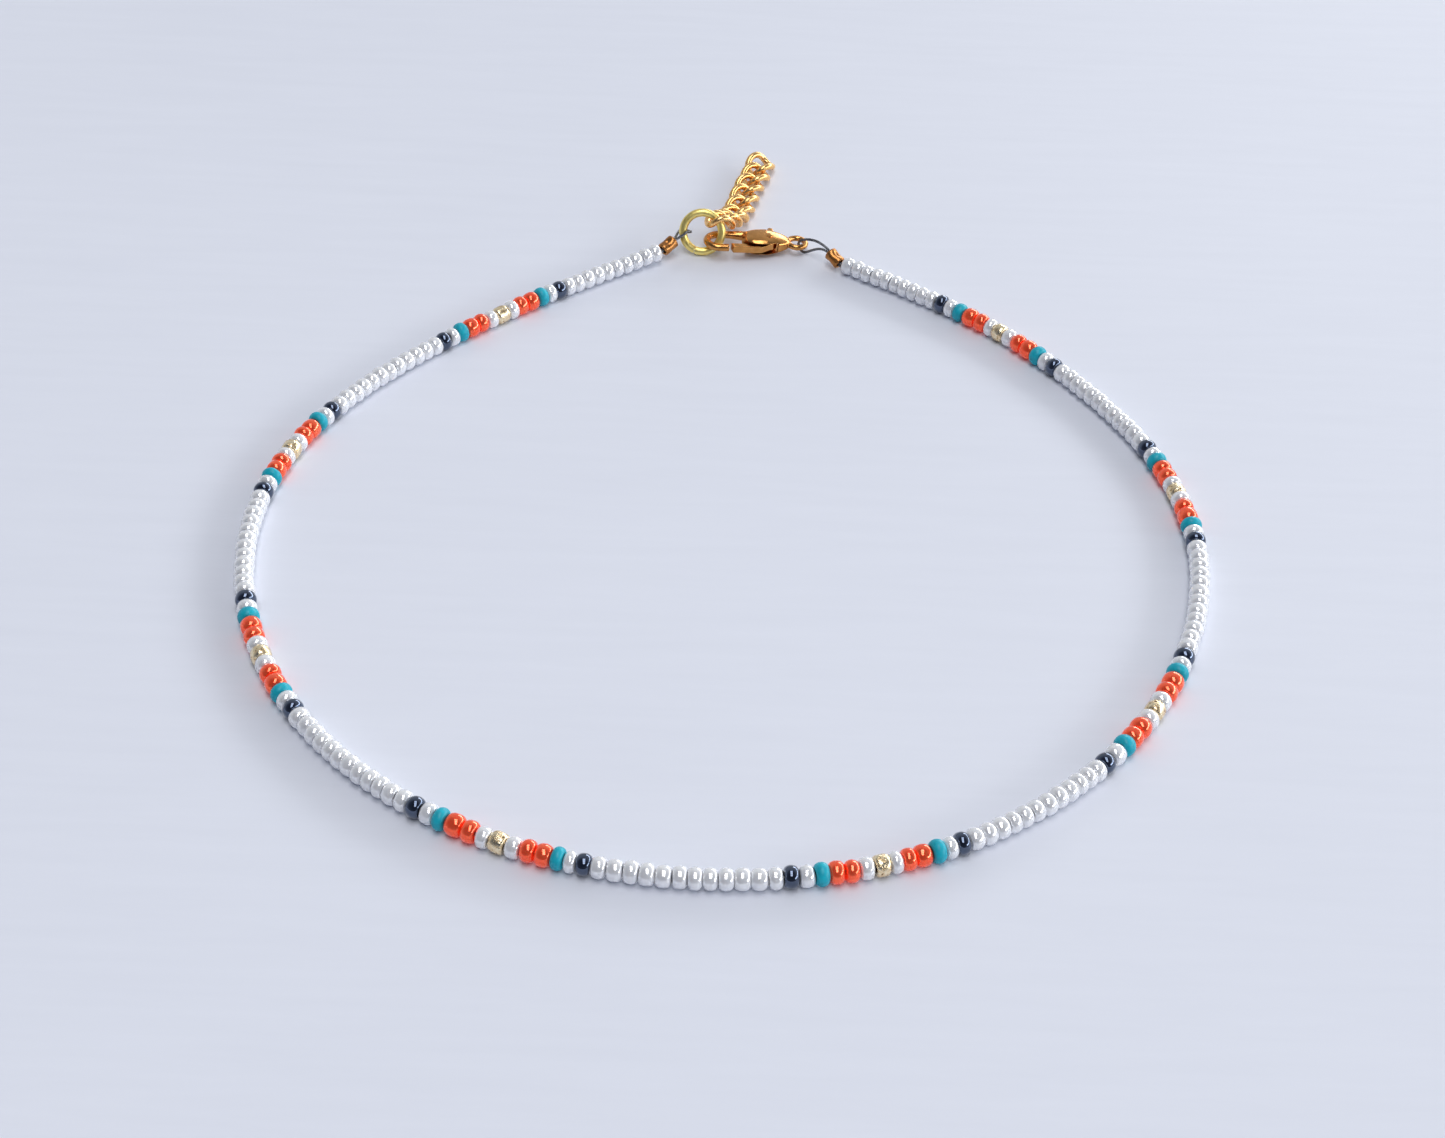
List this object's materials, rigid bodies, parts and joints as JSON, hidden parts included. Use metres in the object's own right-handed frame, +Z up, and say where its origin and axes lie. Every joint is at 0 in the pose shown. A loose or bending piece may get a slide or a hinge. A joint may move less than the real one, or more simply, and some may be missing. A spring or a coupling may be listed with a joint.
{
  "type": "seed bead necklace",
  "caption": "Short necklace of small striped glass seed beads on beading wire, closed by a lobster clasp on a jump ring, with a hanging extender chain.",
  "frame": {"origin": "on the table, under the middle of the necklace's box", "axes": "+Y from the front of the neck loop towards the clasp and the chain, +Z up from the table"},
  "size_m": [0.113, 0.1442, 0.0059],
  "materials": {
    "beads": "glossy pearly white glass beads with stripes of dark, turquoise, coral and gold ones",
    "yellow_gold": "polished yellow gold plating",
    "rose_gold": "polished rose gold plating",
    "copper_gold": "polished copper-coloured plating",
    "beading_wire": "dark grey nylon-coated steel wire"
  },
  "bodies": {
    "necklace": {"bead_strand": "beads", "crimp_left": "copper_gold", "crimp_right": "copper_gold", "wire_loop_left": "beading_wire", "wire_loop_right": "beading_wire", "jump_ring": "yellow_gold", "clasp_body": "rose_gold", "chain_link_1": "rose_gold", "chain_link_2": "rose_gold", "chain_link_3": "rose_gold", "chain_link_4": "rose_gold", "chain_link_5": "rose_gold", "chain_link_6": "rose_gold", "chain_link_7": "rose_gold", "chain_link_8": "rose_gold"},
    "lever": {"clasp_lever": "rose_gold"}
  },
  "joints": [
    {"name": "lever_hinge", "type": "hinge", "parent": "necklace", "child": "lever", "pos_m": [0.00468, 0.04795, 0.00146], "axis": [-0.064, -0.0079, -0.9979], "range_deg": [0, 18], "stiffness_Nm_per_rad": 0.01}
  ]
}
